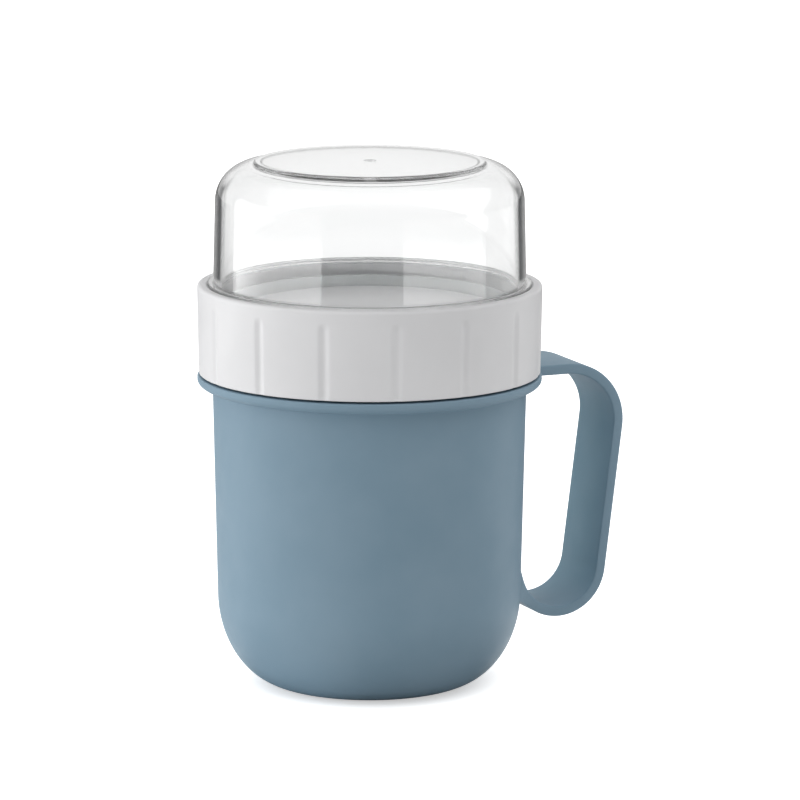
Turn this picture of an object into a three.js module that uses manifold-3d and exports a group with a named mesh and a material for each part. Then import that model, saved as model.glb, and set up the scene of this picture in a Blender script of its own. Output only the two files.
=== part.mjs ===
import * as THREE from 'three';
import { mergeVertices } from 'three/addons/utils/BufferGeometryUtils.js';
import Module from 'manifold-3d';

// Breakfast to-go mug: a mug with a moulded strap handle, a double-sided screw lid and a clear topping cup
// that is screwed upside down into the lid, with a silicone seal at each of the two mouths.
// Lengths are in millimetres and angles in degrees. The mug stands on z = 0, its axis is the z axis and the
// handle points along +x. All pieces are in the closed position.

// Shared sizes
const FACETS = 60; // facets round the axis
const BODY_RADIUS = 45.3; // outside of the mug's wall and neck, and of the cup's mouth
const CONTACT_GAP = 0.3; // between pieces that rest on each other
const EDGE_BREAK = 0.4; // chamfer on the free edges of the mouths
const ARC_STEPS = 8; // chords in a large rounded corner
const EDGE_STEPS = 2; // chords in a small rounded edge

// Mug
const MUG_WALL = 2.3;
const MUG_FLOOR = 3;
const MUG_DRAFT = 1.3; // lean of the outside wall
const FOOT_CORNER_WIDTH = 19.9; // half axes of the rounded corner between the wall and the flat base
const FOOT_CORNER_HEIGHT = 27.1;
const NECK_WALL = 2.1;

// Rim flange that carries the lid
const FLANGE_TOP = 91.3; // height above the base
const FLANGE_HEIGHT = 5.6; // down to where its underside meets the wall
const FLANGE_FACE = 1.4; // upright part of its edge
const FLANGE_LIP = 0.25; // how far it stands out beyond the lid
const FLANGE_EDGE_RADIUS = 0.6;
const FLANGE_SWELL_IN = 1; // control point of the rounded underside, from the edge and from the wall
const FLANGE_SWELL_UP = 1.7;

// Strap handle
const HANDLE_WIDTH = 24.4;
const HANDLE_THICKNESS = 3;
const HANDLE_REACH = 30.5; // outermost point, from the wall
const HANDLE_TOP_RADIUS = 17.5; // outside of the upper bend
const HANDLE_FOOT_RADIUS = 15; // outside of the lower bend
const HANDLE_FOOT_OUT = 10.1; // centre of the lower bend, from the wall
const HANDLE_FOOT_HEIGHT = 31.8; // centre of the lower bend, above the base
const HANDLE_ROOT_TURN = 165; // where the lower bend runs out straight into the wall
const HANDLE_RISE = 0.7; // top of the strap above the top of the flange
const HANDLE_LID_GAP = 0.6; // between the lid and the end of that rise
const HANDLE_NOTCH = 0.3; // depth of the notch between that end and the flange
const HANDLE_EDGE_BREAK = 0.5;

// Screw lid
const LID_HEIGHT = 26;
const LID_WALL = 3.05; // at the top
const LID_TAPER = 0.5; // radius lost from top to bottom
const LID_FLOOR = 2.2;
const LID_RECESS = 8.8; // from the rim down to the floor
const LID_GAP = 0.4; // between the lid and the flange
const LID_EDGE_RADIUS = 1.2;
const RIB_WALL = 1.4; // ring under the floor that centres the seal
const RIB_DEPTH = 3.2;
const RIB_CLEARANCE = 0.9; // to the inside of the neck

// Grip grooves in the lid
const GROOVE_COUNT = 15;
const GROOVE_DEPTH = 0.5;
const GROOVE_RADIUS = 1.75;
const GROOVE_MARGIN = 3.5; // plain band above the grooves
const GROOVE_TURN = 15.8; // first groove, from the handle
const GROOVE_FACETS = 24; // facets round a full groove cutter

// Screw thread, the same on the mug's neck and on the cup's mouth
const THREAD_STARTS = 3;
const THREAD_LEAD = 9; // rise in one turn
const THREAD_SWEEP = 95; // length of one ridge
const THREAD_STEPS = 12; // chords along one ridge
const THREAD_HEIGHT = 1.3;
const THREAD_ROOT = 1.6; // thickness of a ridge at its root and at its crest
const THREAD_CREST = 0.8;
const THREAD_ROOTING = 0.5; // depth of a ridge's root in the wall
const THREAD_RUNOUT = 0.25; // share of the height that is left at the ends of a ridge
const THREAD_CLEARANCE = 0.35;
const THREAD_TURN = 24.7; // lower end of the first ridge, from the handle
const NECK_THREAD_UP = 6.2; // lower end of a ridge, above the flange
const CUP_THREAD_UP = 1.3; // lower end of a ridge, above the cup's mouth

// Topping cup
const CUP_HEIGHT = 42.8;
const CUP_WALL = 2.2;
const CUP_NARROWING = 0.6; // radius lost between the lid and the shoulder
const CUP_SHOULDER_RADIUS = 11;
const CUP_FOOT_RADIUS = 33.4;
const CUP_FOOT_HEIGHT = 1;
const CUP_FOOT_SLOPE = 0.3;
const CUP_FOOT_EDGE = 0.4;
const GATE_RADIUS = 1.75; // moulding mark in the middle of the cup's foot
const GATE_DEPTH = 0.4;

// Seals
const MUG_SEAL_THICKNESS = 1.6;
const CUP_SEAL_THICKNESS = 1.2;
const CUP_SEAL_LIP = 3; // height of the lip inside the cup
const CUP_SEAL_LIP_WALL = 1;

// Levels and radii that follow from the sizes above
const flangeBottom = FLANGE_TOP - FLANGE_HEIGHT;
const lidInside = BODY_RADIUS + THREAD_HEIGHT + THREAD_CLEARANCE;
const lidTopRadius = lidInside + LID_WALL;
const lidBottomRadius = lidTopRadius - LID_TAPER;
const flangeRadius = lidBottomRadius + FLANGE_LIP;
const lidBottom = FLANGE_TOP + LID_GAP;
const lidTop = lidBottom + LID_HEIGHT;
const floorTop = lidTop - LID_RECESS;
const floorBottom = floorTop - LID_FLOOR;
const neckTop = floorBottom - MUG_SEAL_THICKNESS - 2 * CONTACT_GAP;
const neckInside = BODY_RADIUS - NECK_WALL;
const ribRadius = neckInside - RIB_CLEARANCE;
const cupMouth = floorTop + CUP_SEAL_THICKNESS + 2 * CONTACT_GAP;
const cupTop = cupMouth + CUP_HEIGHT;
const cupInside = BODY_RADIUS - CUP_WALL;

const wasm = await Module();
wasm.setup();

const point = (radius, height) => new THREE.Vector2(radius, height);
const radians = THREE.MathUtils.degToRad;

// A closed geometry as a solid that can be joined and cut
function solid(geometry) {
  geometry.deleteAttribute('normal');
  geometry.deleteAttribute('uv');
  const merged = mergeVertices(geometry, 1e-4);
  const triangles = [];
  for (let i = 0; i < merged.index.count; i += 3) {
    const [a, b, c] = [0, 1, 2].map((k) => merged.index.getX(i + k));
    if (a !== b && b !== c && c !== a) triangles.push(a, b, c);
  }
  return new wasm.Manifold(new wasm.Mesh({
    numProp: 3,
    vertProperties: new Float32Array(merged.attributes.position.array),
    triVerts: new Uint32Array(triangles),
  }));
}

// A profile of radius and height turned round the z axis
function turned(profile) {
  return solid(new THREE.LatheGeometry(profile, FACETS).rotateX(Math.PI / 2));
}

// A ring whose profile closes on itself
function turnedRing(profile) {
  return turned([...profile, profile[0]]);
}

// Points on an elliptic corner between two angles
function corner(radius, height, halfWidth, halfHeight, from, to, steps) {
  const points = [];
  for (let i = 0; i <= steps; i++) {
    const angle = radians(from + (to - from) * i / steps);
    points.push(point(radius + halfWidth * Math.cos(angle), height + halfHeight * Math.sin(angle)));
  }
  return points;
}

// One thread ridge on a wall of the given radius. Side 1 stands outwards and side -1 inwards. It rises
// anticlockwise from its lower end and runs out at both ends.
function ridge(wallRadius, side, height, turn) {
  const section = [
    [-THREAD_ROOTING, -THREAD_ROOT / 2],
    [THREAD_HEIGHT, -THREAD_CREST / 2],
    [THREAD_HEIGHT, THREAD_CREST / 2],
    [-THREAD_ROOTING, THREAD_ROOT / 2],
  ];
  const positions = [];
  for (let i = 0; i <= THREAD_STEPS; i++) {
    const along = THREAD_SWEEP * i / THREAD_STEPS;
    const angle = radians(turn + along);
    const rise = THREAD_LEAD * along / 360;
    const full = i > 0 && i < THREAD_STEPS;
    for (const [out, up] of section) {
      const standing = out > 0 && !full ? out * THREAD_RUNOUT : out;
      const radius = wallRadius + side * standing;
      positions.push(radius * Math.cos(angle), radius * Math.sin(angle), height + rise + up);
    }
  }
  const corners = section.length;
  const triangles = [];
  const face = (a, b, c) => triangles.push(...(side > 0 ? [a, b, c] : [a, c, b]));
  for (let i = 0; i < THREAD_STEPS; i++) {
    for (let k = 0; k < corners; k++) {
      const here = i * corners + k;
      const next = i * corners + (k + 1) % corners;
      face(here, here + corners, next);
      face(next, here + corners, next + corners);
    }
  }
  const last = THREAD_STEPS * corners;
  face(0, 1, 2);
  face(0, 2, 3);
  face(last, last + 2, last + 1);
  face(last, last + 3, last + 2);
  const geometry = new THREE.BufferGeometry();
  geometry.setAttribute('position', new THREE.Float32BufferAttribute(positions, 3));
  geometry.setIndex(triangles);
  return solid(geometry);
}

// A body with all the starts of a thread added to it
function threaded(body, wallRadius, side, height) {
  for (let start = 0; start < THREAD_STARTS; start++) {
    body = body.add(ridge(wallRadius, side, height, THREAD_TURN + start * 360 / THREAD_STARTS));
  }
  return body;
}

// The strap handle as a flat band bent in the xz plane: out from the flange, round the upper bend, down the
// slanting grip, round the lower bend and straight on into the wall
function handleSolid() {
  const top = FLANGE_TOP + HANDLE_RISE;
  const upper = point(BODY_RADIUS + HANDLE_REACH - HANDLE_TOP_RADIUS, top - HANDLE_TOP_RADIUS);
  const lower = point(BODY_RADIUS + HANDLE_FOOT_OUT, HANDLE_FOOT_HEIGHT);
  const span = upper.clone().sub(lower);
  const lean = Math.atan2(span.x, span.y)
    + Math.asin((HANDLE_TOP_RADIUS - HANDLE_FOOT_RADIUS) / span.length());
  const rootEnd = -radians(HANDLE_ROOT_TURN);
  const rootRun = HANDLE_FOOT_OUT;
  const rootPoint = (radius) => point(
    lower.x + radius * Math.cos(rootEnd) + rootRun * Math.sin(rootEnd),
    lower.y + radius * Math.sin(rootEnd) - rootRun * Math.cos(rootEnd),
  );
  const rooted = BODY_RADIUS - MUG_WALL;
  const innerTop = HANDLE_TOP_RADIUS - HANDLE_THICKNESS;
  const innerFoot = HANDLE_FOOT_RADIUS - HANDLE_THICKNESS;
  const outerRoot = rootPoint(HANDLE_FOOT_RADIUS);
  const innerRoot = rootPoint(innerFoot);

  const outline = new THREE.Shape();
  outline.moveTo(rooted, top);
  outline.lineTo(upper.x, top);
  outline.absarc(upper.x, upper.y, HANDLE_TOP_RADIUS, Math.PI / 2, -lean, true);
  outline.absarc(lower.x, lower.y, HANDLE_FOOT_RADIUS, -lean, rootEnd, true);
  outline.lineTo(outerRoot.x, outerRoot.y);
  outline.lineTo(innerRoot.x, innerRoot.y);
  outline.absarc(lower.x, lower.y, innerFoot, rootEnd, -lean, false);
  outline.absarc(upper.x, upper.y, innerTop, -lean, Math.PI / 2, false);
  outline.lineTo(rooted, top - HANDLE_THICKNESS);
  outline.closePath();

  const strap = new THREE.ExtrudeGeometry(outline, {
    depth: HANDLE_WIDTH - 2 * HANDLE_EDGE_BREAK,
    curveSegments: ARC_STEPS / 2,
    bevelEnabled: true,
    bevelThickness: HANDLE_EDGE_BREAK,
    bevelSize: HANDLE_EDGE_BREAK,
    bevelOffset: -HANDLE_EDGE_BREAK,
    bevelSegments: 1,
  });
  strap.translate(0, 0, HANDLE_EDGE_BREAK - HANDLE_WIDTH / 2);
  strap.rotateX(Math.PI / 2);

  // The lid turns freely inside the raised end of the strap
  const room = lidBottomRadius + HANDLE_LID_GAP;
  const roomBottom = FLANGE_TOP - HANDLE_NOTCH;
  const lidRoom = turned([
    point(0, roomBottom),
    point(room, roomBottom),
    point(room, lidTop),
    point(0, lidTop),
  ]);
  return solid(strap).subtract(lidRoom);
}

function mugSolid() {
  const wallFoot = BODY_RADIUS - (flangeBottom - FOOT_CORNER_HEIGHT) * Math.tan(radians(MUG_DRAFT));
  const baseRadius = wallFoot - FOOT_CORNER_WIDTH;
  const underside = new THREE.QuadraticBezierCurve(
    point(BODY_RADIUS, flangeBottom),
    point(flangeRadius - FLANGE_SWELL_IN, flangeBottom + FLANGE_SWELL_UP),
    point(flangeRadius, FLANGE_TOP - FLANGE_FACE),
  );
  const outside = turned([
    point(0, 0),
    ...corner(baseRadius, FOOT_CORNER_HEIGHT, FOOT_CORNER_WIDTH, FOOT_CORNER_HEIGHT, -90, 0, ARC_STEPS),
    ...underside.getPoints(ARC_STEPS / 2),
    ...corner(flangeRadius - FLANGE_EDGE_RADIUS, FLANGE_TOP - FLANGE_EDGE_RADIUS,
      FLANGE_EDGE_RADIUS, FLANGE_EDGE_RADIUS, 0, 90, EDGE_STEPS),
    point(BODY_RADIUS, FLANGE_TOP),
    point(BODY_RADIUS, neckTop - EDGE_BREAK),
    point(BODY_RADIUS - EDGE_BREAK, neckTop),
    point(0, neckTop),
  ]);
  const cavity = turned([
    point(0, MUG_FLOOR),
    ...corner(baseRadius, FOOT_CORNER_HEIGHT, FOOT_CORNER_WIDTH - MUG_WALL, FOOT_CORNER_HEIGHT - MUG_FLOOR,
      -90, 0, ARC_STEPS),
    point(neckInside, neckTop),
    point(neckInside, lidTop),
    point(0, lidTop),
  ]);
  const body = threaded(outside.add(handleSolid()), BODY_RADIUS, 1, FLANGE_TOP + NECK_THREAD_UP);
  return body.subtract(cavity);
}

// The thread ridges of the lid lie half a pitch from those of the mug, below them, and from those of the
// cup, above them, so that each pair pulls its two pieces together
const halfPitch = THREAD_LEAD / THREAD_STARTS / 2;

function lidSolid() {
  const lidEdge = lidTopRadius - LID_EDGE_RADIUS;
  let lid = turned([
    point(0, floorBottom),
    point(ribRadius - RIB_WALL, floorBottom),
    point(ribRadius - RIB_WALL, floorBottom - RIB_DEPTH),
    point(ribRadius, floorBottom - RIB_DEPTH),
    point(ribRadius, floorBottom),
    point(lidInside, floorBottom),
    point(lidInside, lidBottom + EDGE_BREAK),
    point(lidInside + EDGE_BREAK, lidBottom),
    point(lidBottomRadius - EDGE_BREAK, lidBottom),
    point(lidBottomRadius, lidBottom + EDGE_BREAK),
    ...corner(lidEdge, lidTop - LID_EDGE_RADIUS, LID_EDGE_RADIUS, LID_EDGE_RADIUS, 0, 90, ARC_STEPS / 2),
    point(lidInside + EDGE_BREAK, lidTop),
    point(lidInside, lidTop - EDGE_BREAK),
    point(lidInside, floorTop),
    point(0, floorTop),
  ]);
  lid = threaded(lid, lidInside, -1, FLANGE_TOP + NECK_THREAD_UP - halfPitch);
  lid = threaded(lid, lidInside, -1, cupMouth + CUP_THREAD_UP + halfPitch);

  // Round-ended cutters lie along the tapered outside and run out through the lower edge
  const length = LID_HEIGHT - GROOVE_MARGIN;
  const cutterProfile = [
    point(0, -GROOVE_RADIUS),
    point(GROOVE_RADIUS, -GROOVE_RADIUS),
    ...corner(0, length - GROOVE_RADIUS, GROOVE_RADIUS, GROOVE_RADIUS, 0, 90, ARC_STEPS / 2),
  ];
  for (let i = 0; i < GROOVE_COUNT; i++) {
    const cutter = new THREE.LatheGeometry(cutterProfile, GROOVE_FACETS).rotateX(Math.PI / 2);
    cutter.rotateY(Math.atan2(LID_TAPER, LID_HEIGHT));
    cutter.translate(lidBottomRadius - GROOVE_DEPTH + GROOVE_RADIUS, 0, lidBottom);
    cutter.rotateZ(radians(GROOVE_TURN + i * 360 / GROOVE_COUNT));
    lid = lid.subtract(solid(cutter));
  }
  return lid;
}

function cupSolid() {
  const shoulder = BODY_RADIUS - CUP_NARROWING - CUP_SHOULDER_RADIUS;
  const shoulderTop = cupTop - CUP_FOOT_HEIGHT;
  const shoulderHeight = shoulderTop - CUP_SHOULDER_RADIUS;
  const innerRadius = CUP_SHOULDER_RADIUS - CUP_WALL;
  const footInside = CUP_FOOT_RADIUS - CUP_WALL;
  const cup = turned([
    point(0, cupTop - CUP_WALL),
    point(footInside, cupTop - CUP_WALL),
    point(footInside + CUP_FOOT_SLOPE, shoulderTop - CUP_WALL),
    ...corner(shoulder, shoulderHeight, innerRadius, innerRadius, 90, 0, ARC_STEPS),
    point(cupInside, lidTop),
    point(cupInside, cupMouth),
    point(BODY_RADIUS - EDGE_BREAK, cupMouth),
    point(BODY_RADIUS, cupMouth + EDGE_BREAK),
    point(BODY_RADIUS, lidTop),
    ...corner(shoulder, shoulderHeight, CUP_SHOULDER_RADIUS, CUP_SHOULDER_RADIUS, 0, 90, ARC_STEPS),
    point(CUP_FOOT_RADIUS + CUP_FOOT_SLOPE, shoulderTop),
    ...corner(CUP_FOOT_RADIUS - CUP_FOOT_EDGE, cupTop - CUP_FOOT_EDGE, CUP_FOOT_EDGE, CUP_FOOT_EDGE,
      0, 90, EDGE_STEPS),
    point(GATE_RADIUS, cupTop),
    point(GATE_RADIUS, cupTop - GATE_DEPTH),
    point(0, cupTop - GATE_DEPTH),
  ]);
  return threaded(cup, BODY_RADIUS, 1, cupMouth + CUP_THREAD_UP);
}

function mugSealSolid() {
  const inside = ribRadius + CONTACT_GAP;
  const outside = lidInside - CONTACT_GAP;
  const bottom = neckTop + CONTACT_GAP;
  const top = bottom + MUG_SEAL_THICKNESS;
  return turnedRing([point(inside, bottom), point(outside, bottom), point(outside, top), point(inside, top)]);
}

// A flat ring under the cup's mouth with a lip that holds it inside the cup
function cupSealSolid() {
  const bottom = floorTop + CONTACT_GAP;
  const top = bottom + CUP_SEAL_THICKNESS;
  const lip = cupInside - CONTACT_GAP;
  return turnedRing([
    point(lip - CUP_SEAL_LIP_WALL, bottom),
    point(BODY_RADIUS, bottom),
    point(BODY_RADIUS, top),
    point(lip, top),
    point(lip, top + CUP_SEAL_LIP),
    point(lip - CUP_SEAL_LIP_WALL, top + CUP_SEAL_LIP),
  ]);
}

const object = new THREE.Group();

function addPiece(name, body, material) {
  const { vertProperties, triVerts } = body.getMesh();
  const geometry = new THREE.BufferGeometry();
  geometry.setAttribute('position', new THREE.BufferAttribute(new Float32Array(vertProperties), 3));
  geometry.setIndex(new THREE.BufferAttribute(new Uint32Array(triVerts), 1));
  geometry.computeVertexNormals();
  const mesh = new THREE.Mesh(geometry, new THREE.MeshStandardMaterial(material));
  mesh.name = name;
  object.add(mesh);
}

addPiece('mug', mugSolid(), { color: '#7f97a5', roughness: 0.6, metalness: 0, flatShading: true });
addPiece('screw_lid', lidSolid(), { color: '#f1f1ee', roughness: 0.5, metalness: 0, flatShading: true });
addPiece('topping_cup', cupSolid(), {
  color: '#f4f7f8', roughness: 0.05, metalness: 0, transparent: true, opacity: 0.3, flatShading: true,
});
addPiece('mug_seal', mugSealSolid(), { color: '#e9e9e4', roughness: 0.7, metalness: 0, flatShading: true });
addPiece('cup_seal', cupSealSolid(), { color: '#e9e9e4', roughness: 0.7, metalness: 0, flatShading: true });

export default object;
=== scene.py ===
import math

import bpy
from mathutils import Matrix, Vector


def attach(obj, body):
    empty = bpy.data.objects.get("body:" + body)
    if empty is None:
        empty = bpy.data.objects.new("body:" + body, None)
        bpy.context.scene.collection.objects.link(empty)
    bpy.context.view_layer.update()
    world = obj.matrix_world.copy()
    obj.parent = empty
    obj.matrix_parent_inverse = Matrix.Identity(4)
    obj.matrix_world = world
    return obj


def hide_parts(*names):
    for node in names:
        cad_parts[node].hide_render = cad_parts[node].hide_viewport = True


# Breakfast to-go mug: a satin mug with a moulded strap handle, a white screw lid with grip grooves, and a
# clear topping cup screwed upside down into the lid. Sizes are in millimetres and become metres as a piece
# is made. The mug stands on z = 0, its axis is the z axis and the handle points along +x.

MM = 0.001
ORIGIN = (0, 0, 0)
UP = (0, 0, 1)
SIDES = 192  # round every turned piece
POLE = 2.0  # radius of the last ring round the axis, which one flat face closes
HOLD = 0.15  # rings beside a rounded corner, as a share of its reach, that keep the flats flat
END_RING = 0.3  # how far the first and last ring of a straight wall lie from its ends
SAME_POINT = 0.004  # points closer than this become one
SMOOTH_ANGLE = 34  # edges that bend more than this stay sharp

# Mug
BASE_RADIUS = 24.07
FOOT_WIDTH = 20.1  # half axes of the rounded foot
FOOT_HEIGHT = 27.1
WALL = 2.3
FLOOR = 3.0
BODY_RADIUS = 45.5
FLANGE_BOTTOM = 87.6
FLANGE_MIDDLE = 89.9  # height of its widest ring
FLANGE_TOP = 91.2
FLANGE_RADIUS = 49.95
FLANGE_START = -86  # angle at which its rounded underside leaves the wall
FLANGE_EDGE = 0.6  # reach of its rounded upper edge
NECK_FOOT = 0.5  # reach of the corner between flange and neck
NECK_TOP = 104.5
NECK_INSIDE = 43.2
NECK_EDGE = 0.7  # reach of both rounded edges of the mouth
UNDERSIDE = [  # radius, height and reach of each corner, from the gate mark out to the standing ring
    (1.0, 0.75, 0), (1.2, 0.75, 0.12), (1.3, 1.1, 0.12), (4.0, 1.1, 0.2), (4.3, 0.6, 0.2),
    (18.9, 0.6, 0.3), (19.6, 0.0, 0.35), (BASE_RADIUS, 0, 0)]

# Strap handle, along the middle of its thickness
STRAP_WIDTH = 24.4
STRAP_THICKNESS = 3.0
STRAP_EDGE = 0.5
STRAP_START = (43.0, 50.0, 54.0)  # x of its first sections, which lie level with the flange
UPPER_BEND = (58.22, 74.5, 16.0)  # x, z and radius
LOWER_BEND = (55.4, 31.8, 13.5)
ROOT_TURN = -128  # angle at which the lower bend ends
ROOT_FLARE = 16.0  # radius in which its edges run into the wall
ROOT = [  # upper and lower face of the lower root as x and z, and its half width, from the bend inwards
    ((46.6, 23.5), (44.9, 20.85), 13.9), ((45.3, 24.75), (43.7, 21.6), 14.6),
    ((44.1, 26.1), (42.6, 22.25), 15.4), ((43.1, 27.5), (41.6, 22.8), 16.2),
    ((42.1, 29.2), (40.7, 23.25), 17.1), ((41.2, 31.1), (39.9, 23.6), 18.0),
    ((40.3, 33.2), (39.1, 23.85), 18.9), ((39.4, 35.3), (38.3, 24.0), 19.6),
    ((36.5, 37.0), (36.5, 24.0), 17.0)]
ROOT_DEPTH = (1.3, 1.6)  # how far the lower root reaches into the foot's wall, sideways and upwards
UPPER_ROOT_END = (44.1, 88.0)  # radius in the wall at which the upper root ends, from this height up
LID_ROOM = (50.1, 91.0)  # radius and lower end of the room in which the lid turns
CUTTER_START = (5, 2)  # radius and height of the first ring of the tool that cuts the roots
CUTTER_TOP = 120.0

# Screw lid
LID_BOTTOM = 91.85
LID_TOP = 117.7
LID_BOTTOM_RADIUS = 49.5
LID_TOP_RADIUS = 49.99
LID_INSIDE = 46.95
LID_FLOOR_TOP = 108.9
LID_FLOOR_BOTTOM = 106.7
LID_CHAMFER = (47.35, 117.2)  # radius at the top and lower end of the chamfer round the recess
LID_RINGS = [93.0, 98.0, 103.0, 108.0, 110.5] + [111.5 + 0.4 * i for i in range(9)]  # heights on the side
SPIGOT_INSIDE = 40.9  # ring under the floor that stands in the mug's mouth
SPIGOT_OUTSIDE = 42.3
SPIGOT_BOTTOM = 103.5
PANEL_TOP = 110.2  # raised part of the floor inside the cup's seal
PANEL_RADIUS = 41.55
PANEL_FOOT = 41.65  # its radius on the floor
GROOVES = 15
GROOVE_TURN = 16.15
GROOVE_HALF = 1.95  # half its width
GROOVE_DEPTH = 0.6
GROOVE_TOP = 114.6
GROOVE_RUNOUT = 3.0
GROOVE_LOW_START = 0.4  # at the lower edge it is this far from nothing to whole
GROOVE_LOW_RUNOUT = 1.5
GROOVE_SKIN = 1.2  # only points nearer to the outside than this are pressed in
GROOVE_COLUMNS = [  # degrees from the middle of a groove
    0.3, 0.6, 0.9, 1.2, 1.55, 1.9, 2.25, 2.65, 3.2, 5.0, 7.0, 9.5]

# Threads
THREAD_COUNT = 3
THREAD_LEAD = 9.0
THREAD_SWEEP = 95.0
THREAD_TURN = 24.7
THREAD_HEIGHT = 1.3
THREAD_ROOT = 1.6  # width at the wall
THREAD_CREST = 0.5  # width of the crest as a share of that
THREAD_EDGE = 0.25
THREAD_ROOTING = 0.5  # depth in the wall
THREAD_STEPS = 38
THREAD_RUNOUT = [0.42, 0.7, 0.9, 1.0]  # sizes of the sections at each end
MUG_THREAD = 97.5  # heights at which the ridges start
LID_LOWER_THREAD = 96.0
LID_UPPER_THREAD = 113.5
CUP_THREAD = 112.0

# Topping cup
CUP_MOUTH = 110.7
CUP_MOUTH_EDGE = 0.5  # reach of both rounded edges of the mouth
CUP_TOP = 153.49
CUP_OUTSIDE = 45.3  # at the mouth
CUP_INSIDE = 43.1
CUP_UPPER_OUTSIDE = 44.7  # below the shoulder
CUP_UPPER_INSIDE = 42.5
CUP_NECK_TOP = 115.0  # where the plain outside of the mouth ends below the collar
CUP_NECK_INSIDE_TOP = 117.7
SHOULDER = (33.7, 141.8)  # middle of the rounded shoulder
SHOULDER_RADIUS = 11.0
SHOULDER_START = 86  # angle at which it begins beside the foot
CUP_WALL = 2.2
CUP_CEILING = 151.0  # inside, beside the foot
GATE_RADIUS = 1.75  # small hollow in the middle of the top
GATE_DEPTH = 0.4
FOOT_RING = [(33.4, CUP_TOP, 0.4), (33.6, 152.8, 0.15), (34.2, 152.8, 0)]  # corners of the raised foot
FOOT_HOLLOW = [(33.2, CUP_CEILING, 0), (31.5, CUP_CEILING, 0.2), (31.2, 151.7, 0.2), (POLE, 151.7, 0)]
COLLAR_RADIUS = 46.75  # ring that closes the gap to the lid
COLLAR_TOP = 118.1
COLLAR_BOTTOM = 116.95
COLLAR_EDGE = 0.25
ABOVE_COLLAR = (45.15, 122.0)  # place on the wall that gives the collar's corner its slope
COLLAR_CLEAR = 0.3  # height above the collar at which the straight wall ends

# Seals, as radius, height and reach of each corner
MUG_SEAL = [(42.6, 104.8, 0.3), (46.65, 104.8, 0.3), (46.65, 106.4, 0.3), (42.6, 106.4, 0.3)]
CUP_SEAL = [(41.8, 108.95, 0.2), (45.3, 108.95, 0.2), (45.3, 110.4, 0.3),
            (42.8, 110.4, 0.3), (42.8, 113.4, 0.3), (41.8, 113.4, 0.3)]

# Colours, as the darkest and the lightest place of each finish
MUG_BLUE = (0.224, 0.339, 0.428), (0.250, 0.365, 0.455)
LID_WHITE = (0.815, 0.815, 0.825), (0.855, 0.855, 0.865)
CUP_CLEAR = (0.985, 0.99, 0.99), (0.995, 0.997, 0.997)
SEAL_MILK = (0.83, 0.85, 0.85), (0.88, 0.90, 0.90)
CUP_PAINTED_EDGE_SHADE = (0.006, 0.0065, 0.007)  # painted shade, where the eye looks along the cup's wall
NOISE_RANGE = (0.3, 0.7)  # nearly all of a noise lies between these
COLOUR_SOCKETS = (6, 7)  # the two colours that go into a mix
COLOUR_RESULT = 2

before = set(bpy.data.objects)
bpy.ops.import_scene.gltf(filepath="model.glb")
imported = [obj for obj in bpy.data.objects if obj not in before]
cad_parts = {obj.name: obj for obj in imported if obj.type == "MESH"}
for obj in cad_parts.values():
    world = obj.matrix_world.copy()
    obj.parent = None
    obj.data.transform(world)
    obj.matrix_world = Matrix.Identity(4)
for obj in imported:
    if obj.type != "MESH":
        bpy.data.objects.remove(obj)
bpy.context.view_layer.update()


# Hand work

def pick(piece):
    bpy.ops.object.select_all(action='DESELECT')
    piece.select_set(True)
    bpy.context.view_layer.objects.active = piece


def edit(piece):
    pick(piece)
    bpy.ops.object.mode_set(mode='EDIT')
    bpy.ops.mesh.select_all(action='SELECT')


def leave_edit():
    bpy.ops.object.mode_set(mode='OBJECT')


def tidy(piece):
    """Joins doubled points and turns every face outwards."""
    edit(piece)
    bpy.ops.mesh.remove_doubles(threshold=SAME_POINT * MM)
    bpy.ops.mesh.normals_make_consistent(inside=False)
    leave_edit()


def arc(middle, half_width, half_height, first, last, steps):
    """Points on a rounded corner from one angle to another."""
    angles = [math.radians(first + (last - first) * i / steps) for i in range(steps + 1)]
    return [(middle[0] + half_width * math.cos(a), middle[1] + half_height * math.sin(a)) for a in angles]


def straight(start, end, steps):
    """Points between two ends, without the ends. The outer two lie close to the ends and hold the wall
    straight."""
    hold = END_RING / math.dist(start, end)
    shares = [hold, *(i / steps for i in range(1, steps)), 1 - hold]
    return [(start[0] + (end[0] - start[0]) * t, start[1] + (end[1] - start[1]) * t) for t in shares]


def soften(corners, steps=5):
    """An outline through the corners, each rounded over its own reach."""
    outline = []
    for i, (radius, height, reach) in enumerate(corners):
        here = Vector((radius, height))
        if not reach:
            outline.append((radius, height))
            continue
        before = (Vector(corners[i - 1][:2]) - here).normalized()
        after = (Vector(corners[(i + 1) % len(corners)][:2]) - here).normalized()
        start, end = here + before * reach, here + after * reach
        outline.append(tuple(start + before * reach * HOLD))
        for k in range(steps + 1):
            t = k / steps
            outline.append(tuple(start * (1 - t) ** 2 + here * 2 * t * (1 - t) + end * t ** 2))
        outline.append(tuple(end + after * reach * HOLD))
    return outline


def turn(name, outline, ring=False, columns=None):
    """Draws a disc out along an outline, one ring after the other. A ring closes on its own start. Columns
    are the angles of the points in degrees, where they don't stand evenly."""
    bpy.ops.object.select_all(action='DESELECT')
    radius, height = outline[0]
    bpy.ops.mesh.primitive_circle_add(vertices=len(columns) if columns else SIDES, radius=radius * MM,
                                      fill_type='NOTHING' if ring else 'NGON')
    piece = bpy.context.object
    piece.name = name
    for point, column in zip(piece.data.vertices, columns or []):
        angle = math.radians(column)
        point.co = (radius * MM * math.cos(angle), radius * MM * math.sin(angle), 0)
    edit(piece)
    bpy.ops.transform.translate(value=(0, 0, height * MM))
    for next_radius, next_height in outline[1:] + (outline[:1] if ring else []):
        rise = (0, 0, (next_height - height) * MM)
        bpy.ops.mesh.extrude_region_move(TRANSFORM_OT_translate={"value": rise})
        growth = next_radius / radius
        bpy.ops.transform.resize(value=(growth, growth, 1), center_override=(0, 0, next_height * MM))
        radius, height = next_radius, next_height
    leave_edit()
    tidy(piece)
    return piece


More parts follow.
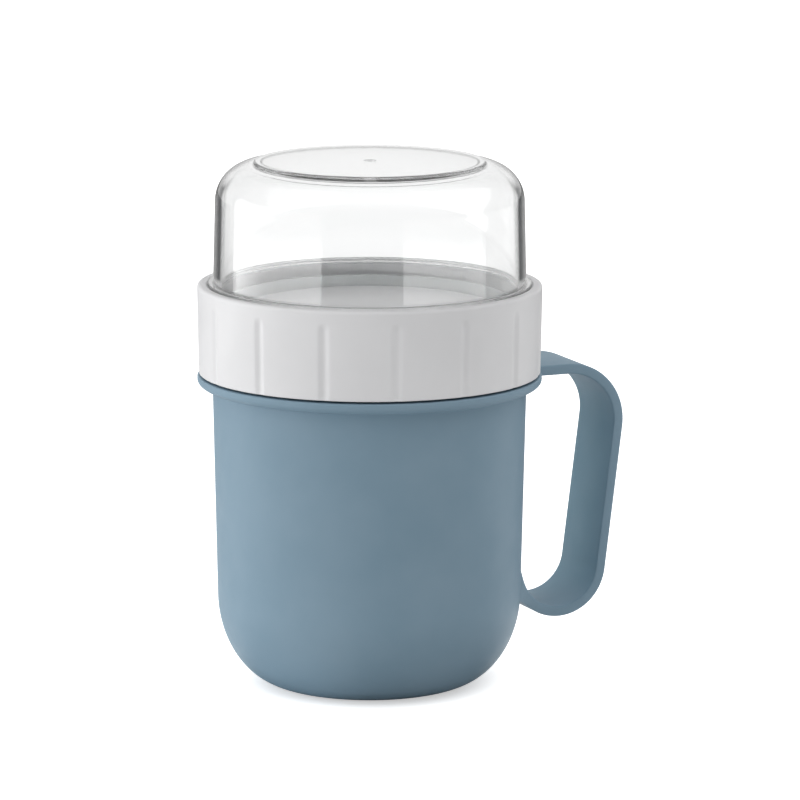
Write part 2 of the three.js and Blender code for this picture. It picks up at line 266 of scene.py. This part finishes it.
def combine(piece, tool, operation):
    """Joins a tool to a piece or cuts it away, and takes the tool off the bench."""
    pick(piece)
    bpy.ops.object.modifier_add(type='BOOLEAN')
    step = piece.modifiers[-1]
    step.operation = operation
    step.solver = 'EXACT'
    step.object = tool
    bpy.ops.object.modifier_apply(modifier=step.name)
    pick(tool)
    bpy.ops.object.delete()


def copies_round(piece, count):
    """Copies a piece evenly round the axis and joins the copies into one."""
    group = [piece]
    for i in range(1, count):
        pick(piece)
        bpy.ops.object.duplicate()
        copy = bpy.context.object
        edit(copy)
        bpy.ops.transform.rotate(value=-math.tau * i / count, orient_axis='Z', center_override=ORIGIN)
        leave_edit()
        group.append(copy)
    bpy.ops.object.select_all(action='DESELECT')
    for one in group:
        one.select_set(True)
    bpy.context.view_layer.objects.active = piece
    bpy.ops.object.join()
    return piece


def thread(radius, side, height):
    """The thread ridges on a wall, standing outwards for side 1 and inwards for side -1."""
    bpy.ops.object.select_all(action='DESELECT')
    bpy.ops.mesh.primitive_plane_add(size=1)
    ridge = bpy.context.object
    ridge.name = "thread_ridge"
    edit(ridge)
    depth = THREAD_HEIGHT + THREAD_ROOTING
    root = radius - side * THREAD_ROOTING
    crest = radius + side * THREAD_HEIGHT
    bpy.ops.transform.rotate(value=math.radians(90), orient_axis='X', center_override=ORIGIN)
    bpy.ops.transform.resize(value=(depth * MM, 1, THREAD_ROOT * MM), center_override=ORIGIN)
    bpy.ops.transform.translate(value=((root + side * depth / 2) * MM, 0, height * MM))
    leave_edit()
    for point in ridge.data.vertices:
        point.select = abs(point.co.x / MM - crest) < depth / 2
    bpy.ops.object.mode_set(mode='EDIT')
    bpy.ops.transform.resize(value=(1, 1, THREAD_CREST), center_override=(crest * MM, 0, height * MM))
    bpy.ops.mesh.bevel(offset=THREAD_EDGE * MM, segments=2, affect='VERTICES')
    bpy.ops.mesh.select_all(action='SELECT')
    bpy.ops.transform.rotate(value=-math.radians(THREAD_TURN), orient_axis='Z', center_override=ORIGIN)
    sizes = THREAD_RUNOUT + [1.0] * (THREAD_STEPS + 1 - 2 * len(THREAD_RUNOUT)) + THREAD_RUNOUT[::-1]
    whole_rise = THREAD_LEAD * THREAD_SWEEP / 360

    def root_at(i):
        angle = math.radians(THREAD_TURN + THREAD_SWEEP * i / THREAD_STEPS)
        rise = whole_rise * i / THREAD_STEPS
        return (root * math.cos(angle) * MM, root * math.sin(angle) * MM, (height + rise) * MM)

    bpy.ops.transform.resize(value=(sizes[0],) * 3, center_override=root_at(0))
    for i in range(1, THREAD_STEPS + 1):
        rise = (0, 0, whole_rise / THREAD_STEPS * MM)
        bpy.ops.mesh.extrude_region_move(TRANSFORM_OT_translate={"value": rise})
        bpy.ops.transform.rotate(value=-math.radians(THREAD_SWEEP / THREAD_STEPS), orient_axis='Z',
                                 center_override=ORIGIN)
        bpy.ops.transform.resize(value=(sizes[i] / sizes[i - 1],) * 3, center_override=root_at(i))
    leave_edit()
    tidy(ridge)
    return copies_round(ridge, THREAD_COUNT)


# Pieces

def on_bend(bend, angle):
    """A place on a bend of the strap, with its heading there."""
    x, z, radius = bend
    way_round = math.radians(angle)
    return x + radius * math.cos(way_round), z + radius * math.sin(way_round), angle - 90


def strap_path():
    """The strap as x, z, heading, width and thickness, from the flange round both bends into the wall."""
    ux, uz, ur = UPPER_BEND
    lx, lz, lr = LOWER_BEND
    span = Vector((ux - lx, uz - lz))
    lean = math.degrees(math.atan2(span.x, span.y) + math.asin((ur - lr) / span.length))
    upper_steps, lower_steps, grip_steps = 32, 44, 8
    path = [(x, uz + ur, 0.0) for x in STRAP_START]
    path += [on_bend(UPPER_BEND, 90 - (90 + lean) * i / upper_steps) for i in range(upper_steps + 1)]
    bend = [on_bend(LOWER_BEND, -lean + (ROOT_TURN + lean) * i / lower_steps)
            for i in range(lower_steps + 1)]
    path += [(x, z, -lean - 90) for x, z in straight(path[-1][:2], bend[0][:2], grip_steps)]
    path += bend
    path = [(x, z, heading, strap_width(x, z), STRAP_THICKNESS) for x, z, heading in path]
    for upper, lower, half in ROOT:
        across = Vector(lower) - Vector(upper)
        middle = (Vector(lower) + Vector(upper)) / 2
        heading = math.degrees(math.atan2(across.y, across.x)) - 90
        path.append((middle.x, middle.y, heading, 2 * half, across.length))
    return path


def strap_width(x, z):
    """At the lower root the edges of the strap run into the wall in a round flare."""
    half = STRAP_WIDTH / 2
    wall_foot = BASE_RADIUS + FOOT_WIDTH
    flare_start = math.sqrt((wall_foot + ROOT_FLARE) ** 2 - (half + ROOT_FLARE) ** 2)
    reach = max(0, flare_start - x) if z < UPPER_BEND[1] else 0
    return 2 * (half + ROOT_FLARE - math.sqrt(ROOT_FLARE ** 2 - reach ** 2))


def make_strap():
    """Pulls a flat band with rounded edges along its path."""
    path = strap_path()
    x, z, heading, width, thick = path[0]
    bpy.ops.object.select_all(action='DESELECT')
    bpy.ops.mesh.primitive_plane_add(size=1)
    strap = bpy.context.object
    strap.name = "strap"
    edit(strap)
    bpy.ops.transform.rotate(value=math.radians(90), orient_axis='Y', center_override=ORIGIN)
    bpy.ops.transform.resize(value=(1, width * MM, thick * MM), center_override=ORIGIN)
    bpy.ops.transform.translate(value=(x * MM, 0, z * MM))
    bpy.ops.mesh.bevel(offset=STRAP_EDGE * MM, segments=4, affect='VERTICES')
    bpy.ops.mesh.select_all(action='SELECT')
    for next_x, next_z, next_heading, next_width, next_thick in path[1:]:
        way = ((next_x - x) * MM, 0, (next_z - z) * MM)
        middle = (next_x * MM, 0, next_z * MM)
        bpy.ops.mesh.extrude_region_move(TRANSFORM_OT_translate={"value": way})
        bpy.ops.transform.rotate(value=math.radians(-heading), orient_axis='Y', center_override=middle)
        bpy.ops.transform.resize(value=(1, next_width / width, next_thick / thick), center_override=middle)
        bpy.ops.transform.rotate(value=math.radians(next_heading), orient_axis='Y', center_override=middle)
        x, z, heading, width, thick = next_x, next_z, next_heading, next_width, next_thick
    leave_edit()
    tidy(strap)

    # The roots end inside the wall, and the lid turns freely inside the raised end
    sideways, upwards = ROOT_DEPTH
    wall_middle = turn("wall_middle", [
        CUTTER_START,
        *arc((BASE_RADIUS, FOOT_HEIGHT), FOOT_WIDTH - sideways, FOOT_HEIGHT - upwards, -90, 0, steps=24),
        UPPER_ROOT_END, (UPPER_ROOT_END[0], CUTTER_TOP), (CUTTER_START[0], CUTTER_TOP)])
    combine(strap, wall_middle, 'DIFFERENCE')
    room_radius, room_bottom = LID_ROOM
    lid_room = turn("lid_room", [(CUTTER_START[0], room_bottom), (room_radius, room_bottom),
                                 (room_radius, CUTTER_TOP), (CUTTER_START[0], CUTTER_TOP)])
    combine(strap, lid_room, 'DIFFERENCE')
    return strap


def make_mug():
    wall_foot = BASE_RADIUS + FOOT_WIDTH
    foot_middle = (BASE_RADIUS, FOOT_HEIGHT)
    outside_foot = (wall_foot, FOOT_HEIGHT)
    inside_foot = (wall_foot - WALL, FOOT_HEIGHT)
    lip = arc((BODY_RADIUS, FLANGE_MIDDLE), FLANGE_RADIUS - BODY_RADIUS, FLANGE_MIDDLE - FLANGE_BOTTOM,
              FLANGE_START, 0, steps=16)
    rim = soften([(*lip[-1], 0), (FLANGE_RADIUS, FLANGE_TOP, FLANGE_EDGE),
                  (BODY_RADIUS, FLANGE_TOP, NECK_FOOT), (BODY_RADIUS, NECK_TOP, NECK_EDGE),
                  (NECK_INSIDE, NECK_TOP, NECK_EDGE), (*inside_foot, 0)])
    outline = [
        *soften(UNDERSIDE)[:-1],
        *arc(foot_middle, FOOT_WIDTH, FOOT_HEIGHT, -90, 0, steps=44),
        *straight(outside_foot, (BODY_RADIUS, FLANGE_BOTTOM), steps=12), (BODY_RADIUS, FLANGE_BOTTOM),
        *lip, *rim[1:-1],
        *straight((NECK_INSIDE, NECK_TOP - NECK_EDGE), inside_foot, steps=6),
        *arc(foot_middle, FOOT_WIDTH - WALL, FOOT_HEIGHT - FLOOR, 0, -90, steps=30),
        (POLE, FLOOR),
    ]
    mug = turn("breakfast_mug", outline)
    combine(mug, make_strap(), 'UNION')
    combine(mug, thread(BODY_RADIUS, 1, MUG_THREAD), 'UNION')
    tidy(mug)
    return mug


def press_grooves(lid):
    """Presses the grip grooves into the outside. Each is a soft valley that runs out below the top edge."""
    pitch = 360 / GROOVES
    for point in lid.data.vertices:
        x, y, height = point.co / MM
        radius = math.hypot(x, y)
        if radius < LID_BOTTOM_RADIUS - GROOVE_SKIN or height > GROOVE_TOP:
            continue
        off = (math.degrees(math.atan2(y, x)) - GROOVE_TURN + pitch / 2) % pitch - pitch / 2
        across = min(1, abs(radius * math.radians(off)) / GROOVE_HALF)
        ending = min(1, (GROOVE_TOP - height) / GROOVE_RUNOUT,
                     GROOVE_LOW_START + max(0, height - LID_BOTTOM) / GROOVE_LOW_RUNOUT)
        depth = GROOVE_DEPTH * math.cos(across * math.pi / 2) ** 2 * ending ** 2 * (3 - 2 * ending)
        point.co.x *= (radius - depth) / radius
        point.co.y *= (radius - depth) / radius


def make_lid():
    floor_low, floor_high = LID_FLOOR_BOTTOM, LID_FLOOR_TOP
    taper = (LID_TOP_RADIUS - LID_BOTTOM_RADIUS) / (LID_TOP - LID_BOTTOM)
    side = [(LID_BOTTOM_RADIUS + taper * (height - LID_BOTTOM), height, 0) for height in LID_RINGS]
    chamfer_radius, chamfer_bottom = LID_CHAMFER
    outline = soften([
        (POLE, floor_low, 0), (SPIGOT_INSIDE, floor_low, 0.5), (SPIGOT_INSIDE, SPIGOT_BOTTOM, 0.3),
        (SPIGOT_OUTSIDE, SPIGOT_BOTTOM, 0.3), (SPIGOT_OUTSIDE, floor_low, 0.3),
        (LID_INSIDE, floor_low, 0.4), (LID_INSIDE, LID_BOTTOM, 0.5),
        (LID_BOTTOM_RADIUS, LID_BOTTOM, 0.35), *side,
        (LID_TOP_RADIUS, LID_TOP, 1.1), (chamfer_radius, LID_TOP, 0.2), (LID_INSIDE, chamfer_bottom, 0.2),
        (LID_INSIDE, floor_high, 0.5), (PANEL_FOOT, floor_high, 0.1), (PANEL_RADIUS, PANEL_TOP, 0.4),
        (POLE, PANEL_TOP, 0)])
    pitch = 360 / GROOVES
    sector = [-a for a in reversed(GROOVE_COLUMNS)] + [0.0] + GROOVE_COLUMNS + [pitch / 2]
    columns = [GROOVE_TURN + pitch * i + a for i in range(GROOVES) for a in sector]
    lid = turn("screw_lid_white", outline, columns=columns)
    press_grooves(lid)
    combine(lid, thread(LID_INSIDE, -1, LID_LOWER_THREAD), 'UNION')
    combine(lid, thread(LID_INSIDE, -1, LID_UPPER_THREAD), 'UNION')
    tidy(lid)
    return lid


def make_cup():
    gate_floor = CUP_TOP - GATE_DEPTH
    foot = soften([(1.5, gate_floor, 0), (GATE_RADIUS, gate_floor, 0.1), (GATE_RADIUS, CUP_TOP, 0.12),
                   *FOOT_RING])
    collar = soften([(*ABOVE_COLLAR, 0), (CUP_OUTSIDE, COLLAR_TOP, 0.2),
                     (COLLAR_RADIUS, COLLAR_TOP, COLLAR_EDGE), (COLLAR_RADIUS, COLLAR_BOTTOM, COLLAR_EDGE),
                     (CUP_OUTSIDE, COLLAR_BOTTOM, 0.15), (CUP_OUTSIDE, CUP_NECK_TOP, 0)])
    mouth = soften([(CUP_OUTSIDE, CUP_NECK_TOP, 0), (CUP_OUTSIDE, CUP_MOUTH, CUP_MOUTH_EDGE),
                    (CUP_INSIDE, CUP_MOUTH, CUP_MOUTH_EDGE), (CUP_INSIDE, CUP_NECK_INSIDE_TOP, 0)])
    outline = [
        *foot[:-1], *arc(SHOULDER, SHOULDER_RADIUS, SHOULDER_RADIUS, SHOULDER_START, 0, steps=32),
        *straight((CUP_UPPER_OUTSIDE, SHOULDER[1]), (CUP_OUTSIDE, COLLAR_TOP + COLLAR_CLEAR), steps=4),
        *collar[1:-1], *mouth,
        *straight((CUP_INSIDE, CUP_NECK_INSIDE_TOP), (CUP_UPPER_INSIDE, SHOULDER[1]), steps=4),
        *arc(SHOULDER, SHOULDER_RADIUS - CUP_WALL, CUP_CEILING - SHOULDER[1], 0, 90, steps=32),
        *soften(FOOT_HOLLOW),
    ]
    cup = turn("clear_topping_cup", outline)
    combine(cup, thread(CUP_OUTSIDE, 1, CUP_THREAD), 'UNION')
    tidy(cup)
    return cup


def make_mug_seal():
    return turn("mug_seal_ring", soften(MUG_SEAL), ring=True)


def make_cup_seal():
    return turn("cup_seal_ring", soften(CUP_SEAL), ring=True)


# Finishes

def new_material(name):
    """A material with its nodes, its links and its shader."""
    material = bpy.data.materials.new(name)
    material.use_nodes = True
    tree = material.node_tree
    return material, tree.nodes, tree.links, tree.nodes["Principled BSDF"]


def noise(nodes, links, scale):
    """Soft clouds in the plastic, smaller for a larger scale."""
    place = nodes.new("ShaderNodeTexCoord")
    texture = nodes.new("ShaderNodeTexNoise")
    texture.inputs["Scale"].default_value = scale
    texture.inputs["Detail"].default_value = 3.0
    links.new(place.outputs["Object"], texture.inputs["Vector"])
    return texture.outputs["Fac"]


def spread(nodes, links, value, low, high):
    """A noise as a number between low and high."""
    step = nodes.new("ShaderNodeMapRange")
    step.inputs["From Min"].default_value, step.inputs["From Max"].default_value = NOISE_RANGE
    step.inputs["To Min"].default_value = low
    step.inputs["To Max"].default_value = high
    links.new(value, step.inputs["Value"])
    return step.outputs["Result"]


def tint(nodes, links, value, dark, light):
    """A noise as a colour between dark and light."""
    ramp = nodes.new("ShaderNodeValToRGB")
    for element, position, colour in zip(ramp.color_ramp.elements, NOISE_RANGE, (dark, light)):
        element.position = position
        element.color = (*colour, 1)
    links.new(value, ramp.inputs["Fac"])
    return ramp.outputs["Color"]


def along(nodes, links, place, way):
    """How far a place lies along a direction."""
    step = nodes.new("ShaderNodeVectorMath")
    step.operation = 'DOT_PRODUCT'
    step.inputs[1].default_value = way
    links.new(place, step.inputs[0])
    return step.outputs["Value"]


def shaped(nodes, links, operation, place, output):
    """A place or colour after one step of vector reckoning."""
    step = nodes.new("ShaderNodeVectorMath")
    step.operation = operation
    links.new(place, step.inputs[0])
    return step.outputs[output]


def fade(nodes, links, value, first, last, low, high):
    """A soft change from low to high between two places."""
    step = nodes.new("ShaderNodeMapRange")
    step.interpolation_type = 'SMOOTHSTEP'
    step.inputs["From Min"].default_value = first
    step.inputs["From Max"].default_value = last
    step.inputs["To Min"].default_value = low
    step.inputs["To Max"].default_value = high
    links.new(value, step.inputs["Value"])
    return step.outputs["Result"]


def fill(links, socket, value):
    """Sets a socket to a plain number, or links it to a node's output."""
    if isinstance(value, float):
        socket.default_value = value
    else:
        links.new(value, socket)


def sums(nodes, links, operation, first, second):
    """One step of reckoning with two numbers."""
    step = nodes.new("ShaderNodeMath")
    step.operation = operation
    fill(links, step.inputs[0], first)
    fill(links, step.inputs[1], second)
    return step.outputs["Value"]


def choose(nodes, links, when, no, yes):
    """One number or another, by a third that is 0 or 1."""
    step = nodes.new("ShaderNodeMix")
    step.data_type = 'FLOAT'
    links.new(when, step.inputs["Factor"])
    fill(links, step.inputs["A"], no)
    fill(links, step.inputs["B"], yes)
    return step.outputs["Result"]


def grain(nodes, links, shader, scale, strength, depth):
    """The fine grain of the mould."""
    bump = nodes.new("ShaderNodeBump")
    bump.inputs["Strength"].default_value = strength
    bump.inputs["Distance"].default_value = depth * MM
    links.new(noise(nodes, links, scale), bump.inputs["Height"])
    links.new(bump.outputs["Normal"], shader.inputs["Normal"])


def satin_plastic(name, dark, light, smooth, rough):
    material, nodes, links, shader = new_material(name)
    links.new(tint(nodes, links, noise(nodes, links, 45), dark, light), shader.inputs["Base Color"])
    links.new(spread(nodes, links, noise(nodes, links, 160), smooth, rough), shader.inputs["Roughness"])
    shader.inputs["IOR"].default_value = 1.49
    shader.inputs["Specular IOR Level"].default_value = 0.32
    grain(nodes, links, shader, scale=2600, strength=0.12, depth=0.03)
    return material


def clear_plastic(name):
    """Clear plastic with painted shade: its colour darkens where the eye looks along an upright wall, in
    place of the dark reflections that thick clear edges show.
    """
    material, nodes, links, shader = new_material(name)
    grazing = nodes.new("ShaderNodeLayerWeight")
    grazing.inputs["Blend"].default_value = 0.5
    facing = grazing.outputs["Facing"]
    place = nodes.new("ShaderNodeTexCoord")
    height = along(nodes, links, place.outputs["Object"], UP)
    lean = sums(nodes, links, 'ABSOLUTE', along(nodes, links, place.outputs["Normal"], UP), 0.0)
    outward = shaped(nodes, links, 'DOT_PRODUCT', place.outputs["Normal"], "Value")
    links.new(place.outputs["Object"], outward.node.inputs[1])

    # painted shade: near the cup's outline, above the collar, the colour turns almost black
    edge = fade(nodes, links, facing, 0.64, 0.72, 0, 1)
    paler_rim = fade(nodes, links, facing, 0.76, 1.0, 1, 0.6)
    upright_only = fade(nodes, links, lean, 0.45, 0.8, 1, 0)
    above_collar = fade(nodes, links, height, COLLAR_TOP * MM, (COLLAR_TOP + 3) * MM, 0, 1)
    outer_face = fade(nodes, links, outward, -0.01, 0.01, 0, 1)
    inner_face = fade(nodes, links, facing, 0.76, 0.84, 0, 0.8)  # where its painted dark edge is narrower
    either_face = sums(nodes, links, 'MAXIMUM', outer_face, inner_face)
    for share in (paler_rim, upright_only, above_collar, either_face):
        edge = sums(nodes, links, 'MULTIPLY', edge, share)

    clear = tint(nodes, links, noise(nodes, links, 30), *CUP_CLEAR)
    painted_slant_shade = shaped(nodes, links, 'SCALE', clear, "Vector")  # painted shade: the colour darkens towards 0.88 as the wall is seen more slantwise
    links.new(fade(nodes, links, facing, 0.05, 0.6, 1.0, 0.88), painted_slant_shade.node.inputs["Scale"])
    shade = nodes.new("ShaderNodeMix")
    shade.data_type = 'RGBA'
    clear_socket, painted_shade_socket = COLOUR_SOCKETS
    links.new(edge, shade.inputs["Factor"])
    links.new(painted_slant_shade, shade.inputs[clear_socket])
    shade.inputs[painted_shade_socket].default_value = (*CUP_PAINTED_EDGE_SHADE, 1)
    links.new(shade.outputs[COLOUR_RESULT], shader.inputs["Base Color"])

    polish = spread(nodes, links, noise(nodes, links, 300), 0.0, 0.03)
    frosted = fade(nodes, links, height, 115.5 * MM, 117.0 * MM, 0.5, 0)  # the mouth with its thread
    links.new(sums(nodes, links, 'MAXIMUM', polish, frosted), shader.inputs["Roughness"])
    weaker_gloss = fade(nodes, links, height, 130.0 * MM, 138.0 * MM, 1.0, 0.15)  # towards the shoulder
    links.new(weaker_gloss, shader.inputs["Specular Tint"])
    shader.inputs["Transmission Weight"].default_value = 1.0
    shader.inputs["IOR"].default_value = 1.53
    grain(nodes, links, shader, scale=90, strength=0.02, depth=0.05)
    return material


def silicone(name):
    material, nodes, links, shader = new_material(name)
    links.new(tint(nodes, links, noise(nodes, links, 80), *SEAL_MILK), shader.inputs["Base Color"])
    shader.inputs["Transmission Weight"].default_value = 0.6
    shader.inputs["IOR"].default_value = 1.41
    links.new(spread(nodes, links, noise(nodes, links, 400), 0.45, 0.6), shader.inputs["Roughness"])
    shader.inputs["Subsurface Weight"].default_value = 0.4
    shader.inputs["Subsurface Radius"].default_value = (1.0, 1.0, 1.0)
    shader.inputs["Subsurface Scale"].default_value = 1.5 * MM
    grain(nodes, links, shader, scale=1800, strength=0.1, depth=0.03)
    return material


def finish_piece(piece, material, body, node):
    """Gives a piece its finish and its place in the frame."""
    piece.data.materials.clear()
    piece.data.materials.append(material)
    for face in piece.data.polygons:
        face.material_index = 0
    pick(piece)
    bpy.ops.object.shade_smooth_by_angle(angle=math.radians(SMOOTH_ANGLE))
    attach(piece, body)
    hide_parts(node)


white = satin_plastic("white_satin_plastic", *LID_WHITE, smooth=0.4, rough=0.48)
blue = satin_plastic("grey_blue_satin_plastic", *MUG_BLUE, smooth=0.5, rough=0.58)
rubber = silicone("milky_silicone")
finish_piece(make_mug(), blue, "mug", "mug")
finish_piece(make_lid(), white, "lid", "screw_lid")
finish_piece(make_cup(), clear_plastic("clear_cup_plastic"), "cup", "topping_cup")
finish_piece(make_mug_seal(), rubber, "mug_seal", "mug_seal")
finish_piece(make_cup_seal(), rubber, "cup_seal", "cup_seal")


# Studio, in metres
# Ahead points from the camera past the mug, and aside to the camera's right

AHEAD = (0.387, 0.922, 0)
ASIDE = (0.922, -0.387, 0)
DARK = 0.05  # what a black cloth looks like
WHITE = 1.02  # the white paper behind, seen through the clear cup
CEILING = 1.08
BACK_WALL = 0.25
ROOM_END = 0.03  # the end of the room behind the camera
INSIDE_LEAST = 0.35  # least light that reaches the inside of the cup from any side
PAPER_SIZE = 9
PAPER_DROP = 0.02 * MM  # how far the paper lies below the mug
SOFTBOX_FAR = 0.55  # distance from the mug's axis
SOFTBOX_STAND = 0.005  # height of its lower edge
CARD_PLACE = Vector((24, 67, 50)) * MM
CARD_AIM = Vector((68, 0, 50)) * MM
CARD_COLOUR = (0.65, 1.0, 0.97)
CARD_SPREAD = 90
CAMERA_PLACE = (-0.6311, -1.5035, 0.3868)
CAMERA_TURN = (79.457, -0.155, -23.052)  # degrees
CAMERA_LENS = 257.17
CAMERA_SENSOR = 36.0
BOUNCES = 24  # enough for light to leave the clear cup again


def kinds_of_sight(nodes, links):
    """Seen by the camera, in a gloss, through clear plastic, and through it by a dull surface inside."""
    path = nodes.new("ShaderNodeLightPath").outputs
    first = sums(nodes, links, 'LESS_THAN', path["Diffuse Depth"], 0.5)
    gloss = sums(nodes, links, 'MULTIPLY', path["Is Glossy Ray"], first)
    through = sums(nodes, links, 'MULTIPLY', path["Is Transmission Ray"], first)
    return path["Is Camera Ray"], gloss, through, path["Is Transmission Ray"]


def paper_floor():
    """White paper that keeps the mug's contact shadow. For the camera it glows, and that glow is painted
    light, weaker near the mug and stronger further out, which washes out the rest of the mug's shadow.
    """
    bpy.ops.object.select_all(action='DESELECT')
    bpy.ops.mesh.primitive_plane_add(size=PAPER_SIZE, location=(0, 0, -PAPER_DROP))
    floor = bpy.context.object
    floor.name = "paper_floor"
    material, nodes, links, shader = new_material("white_paper")
    camera, gloss, through, _ = kinds_of_sight(nodes, links)
    place = nodes.new("ShaderNodeTexCoord").outputs["Object"]
    far = shaped(nodes, links, 'LENGTH', place, "Value")
    way = shaped(nodes, links, 'NORMALIZE', place, "Vector")
    ahead = along(nodes, links, way, AHEAD)
    aside = along(nodes, links, way, ASIDE)

    left = fade(nodes, links, aside, -0.95, -0.75, 1.6, DARK)
    right = fade(nodes, links, aside, 0.6, 0.9, 0.25, 2.0)
    near = fade(nodes, links, far, 0.35, 0.55, 1.0, 0.0)
    dark_front = fade(nodes, links, ahead, -0.35, 0.25, DARK, 1.0)
    seen_in_gloss = sums(nodes, links, 'MAXIMUM', sums(nodes, links, 'MAXIMUM', left, right), near)
    seen_in_gloss = sums(nodes, links, 'MULTIPLY', seen_in_gloss, dark_front)
    # painted light: for the camera the paper glows at 0.5 within 26 mm of the axis and at 0.95 beyond 46
    # mm, whatever shadow falls there
    painted_glow_for_camera = fade(nodes, links, far, 0.026, 0.046, 0.5, 0.95)
    glow = choose(nodes, links, gloss, 0.0, seen_in_gloss)
    glow = choose(nodes, links, through, glow, WHITE)
    glow = choose(nodes, links, camera, glow, painted_glow_for_camera)
    links.new(glow, shader.inputs["Emission Strength"])

    beside = sums(nodes, links, 'MULTIPLY', fade(nodes, links, far, 0.08, 0.22, 1.0, 0.0),
                  fade(nodes, links, aside, -0.6, 0.1, 1.0, 0.6))
    bounce = sums(nodes, links, 'MAXIMUM', beside, 0.6)  # how much light the paper throws back at the mug
    mirrored = sums(nodes, links, 'MAXIMUM', gloss, through)
    paper = choose(nodes, links, mirrored, bounce, 0.02)
    links.new(choose(nodes, links, camera, paper, 0.8), shader.inputs["Base Color"])
    shader.inputs["Emission Color"].default_value = (1, 1, 1, 1)
    shader.inputs["Roughness"].default_value = 0.9
    shader.inputs["Specular IOR Level"].default_value = 0.0
    floor.data.materials.append(material)


def white_room():
    """A room with a pale ceiling and back wall, and a dark end behind the camera."""
    world = bpy.data.worlds.new("studio_room")
    world.use_nodes = True
    nodes, links = world.node_tree.nodes, world.node_tree.links
    room = nodes["Background"]
    room.inputs["Color"].default_value = (1, 1, 1, 1)
    camera, gloss, through, inside = kinds_of_sight(nodes, links)
    way = nodes.new("ShaderNodeTexCoord").outputs["Generated"]
    ahead = along(nodes, links, way, AHEAD)
    height = along(nodes, links, way, UP)

    wall = fade(nodes, links, ahead, -0.3, 0.6, ROOM_END, BACK_WALL)
    light = sums(nodes, links, 'MAXIMUM', wall, fade(nodes, links, height, 0.2, 0.8, 0, CEILING))
    shallow = sums(nodes, links, 'MULTIPLY', fade(nodes, links, height, 0.2, 0.7, 1.0, 0.1),
                   fade(nodes, links, ahead, -0.5, 0.3, 4.2, 0.9))
    light = choose(nodes, links, inside, light, sums(nodes, links, 'MAXIMUM', shallow, INSIDE_LEAST))
    light = choose(nodes, links, gloss, light, fade(nodes, links, ahead, -0.35, 0.25, DARK, 0.9))
    light = choose(nodes, links, through, light, WHITE)
    links.new(choose(nodes, links, camera, light, 1.0), room.inputs["Strength"])
    bpy.context.scene.world = world


def lamp(name, place, way, width, height, brightness):
    """A glowing board that looks one way. Brightness 1 looks as bright as white paper."""
    bpy.ops.object.light_add(type='AREA', location=place, rotation=way.to_track_quat('-Z', 'Y').to_euler())
    board = bpy.context.object
    board.name = name
    board.data.shape = 'RECTANGLE'
    board.data.size = width
    board.data.size_y = height
    board.data.energy = brightness * math.pi * width * height
    return board


def softbox(name, turn_aside, half_angle, height, brightness):
    """A lamp behind a white cloth that stands on the floor and faces the mug, turned aside from the camera.
    Both angles are in degrees."""
    swing = math.radians(turn_aside)
    way = Vector(ASIDE) * math.sin(swing) - Vector(AHEAD) * math.cos(swing)
    place = way * SOFTBOX_FAR + Vector((0, 0, height / 2 + SOFTBOX_STAND))
    width = 2 * SOFTBOX_FAR * math.tan(math.radians(half_angle))
    lamp(name, place, -way, width, height, brightness)


def strap_card():
    """A small card behind the mug that throws light on the inside of the strap and isn't seen itself."""
    card = lamp("strap_card", CARD_PLACE, CARD_AIM - CARD_PLACE, width=0.045, height=0.07, brightness=0.43)
    card.data.color = CARD_COLOUR
    card.data.spread = math.radians(CARD_SPREAD)
    card.visible_camera = card.visible_glossy = card.visible_transmission = False


def studio():
    paper_floor()
    white_room()
    softbox("left_softbox", turn_aside=-76, half_angle=41, height=0.27, brightness=2.3)
    softbox("right_softbox", turn_aside=58, half_angle=34, height=0.11, brightness=1.85)
    strap_card()
    bpy.ops.object.camera_add(location=CAMERA_PLACE, rotation=[math.radians(a) for a in CAMERA_TURN])
    camera = bpy.context.object
    camera.name = "photo_camera"
    camera.data.lens = CAMERA_LENS
    camera.data.sensor_width = CAMERA_SENSOR
    scene = bpy.context.scene
    scene.camera = camera
    scene.view_settings.view_transform = 'Standard'
    scene.cycles.max_bounces = BOUNCES
    scene.cycles.glossy_bounces = BOUNCES
    scene.cycles.transmission_bounces = BOUNCES


studio()
